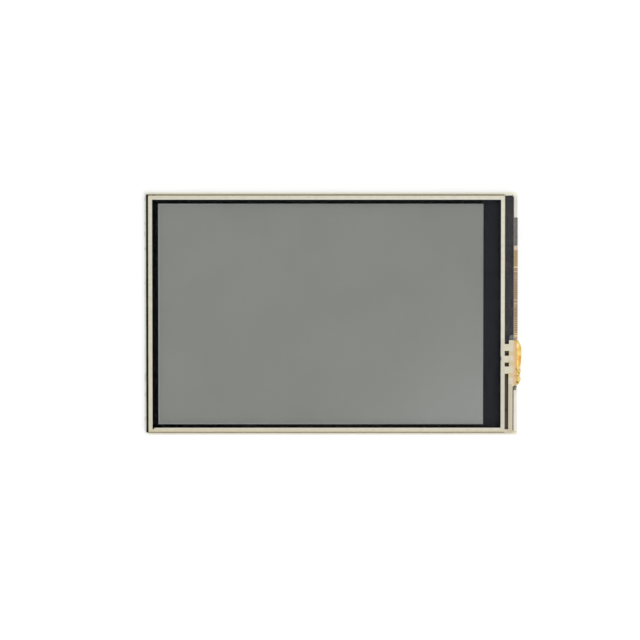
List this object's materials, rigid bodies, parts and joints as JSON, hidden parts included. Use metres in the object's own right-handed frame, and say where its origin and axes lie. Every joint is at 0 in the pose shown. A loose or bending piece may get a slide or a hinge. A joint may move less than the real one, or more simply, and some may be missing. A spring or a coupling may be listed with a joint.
{
  "type": "tft display module",
  "caption": "Flat rectangular colour display module: a resistive touch panel over a liquid crystal cell in a moulded light frame, with flex tails folded onto its back.",
  "frame": {"origin": "under the middle of the backlight frame, at the level of the lowest parts on the folded flex", "axes": "+X along the long side towards the edge with the flex tails, +Y to the top of the screen, +Z out of the screen towards the viewer"},
  "size_m": [0.0857, 0.055, 0.0043],
  "materials": {
    "frame_white": "fine moulded satin",
    "plate_steel": "rolled stainless sheet",
    "reflector_film": "mirror white film",
    "guide_acrylic": "clear acrylic",
    "light_film": "milky film",
    "lamp_white": "white package with yellow window",
    "flex_amber": "polyimide over copper",
    "tail_amber": "bare polyimide",
    "stiffener_board": "thick polyimide",
    "contact_gold": "gold plated",
    "solder_tin": "bright solder",
    "capacitor_ceramic": "fired body with tinned ends",
    "chip_silicon": "ground silicon",
    "lcd_glass": "clear",
    "touch_glass": "clear",
    "touch_film": "clear hard coat",
    "polarizer_grey": "smooth",
    "mask_black": "black border under glass",
    "pixel_grey": "unlit screen grey",
    "conductor_cream": "printed cream ink",
    "adhesive_clear": "clear adhesive",
    "tape_black": "black film tape",
    "tape_grey": "grey conductive tape",
    "tape_white": "double sided tape"
  },
  "bodies": {
    "root": {"back_plate": "plate_steel", "backlight_frame": "frame_white", "black_mask": "mask_black", "capacitor_1": "capacitor_ceramic", "capacitor_2": "capacitor_ceramic", "capacitor_3": "capacitor_ceramic", "capacitor_4": "capacitor_ceramic", "capacitor_5": "capacitor_ceramic", "capacitor_6": "capacitor_ceramic", "colour_filter_glass": "lcd_glass", "diffuser": "light_film", "driver_chip": "chip_silicon", "edge_tape": "tape_grey", "flex_contacts": "contact_gold", "flex_stiffener": "stiffener_board", "flex_tape": "tape_white", "front_polarizer": "polarizer_grey", "led_1": "lamp_white", "led_2": "lamp_white", "led_3": "lamp_white", "led_4": "lamp_white", "led_5": "lamp_white", "led_6": "lamp_white", "led_flex": "flex_amber", "light_guide": "guide_acrylic", "light_shield_tape": "tape_black", "lower_prism_film": "light_film", "main_flex": "flex_amber", "pixel_layer": "pixel_grey", "rear_polarizer": "polarizer_grey", "reflector": "reflector_film", "rim_tape": "tape_black", "tail_solder": "solder_tin", "tft_glass": "lcd_glass", "touch_conductors": "conductor_cream", "touch_film": "touch_film", "touch_gasket": "adhesive_clear", "touch_glass": "touch_glass", "touch_glue": "adhesive_clear", "touch_tail": "tail_amber", "touch_tape": "tape_black", "upper_prism_film": "light_film"}
  },
  "joints": []
}
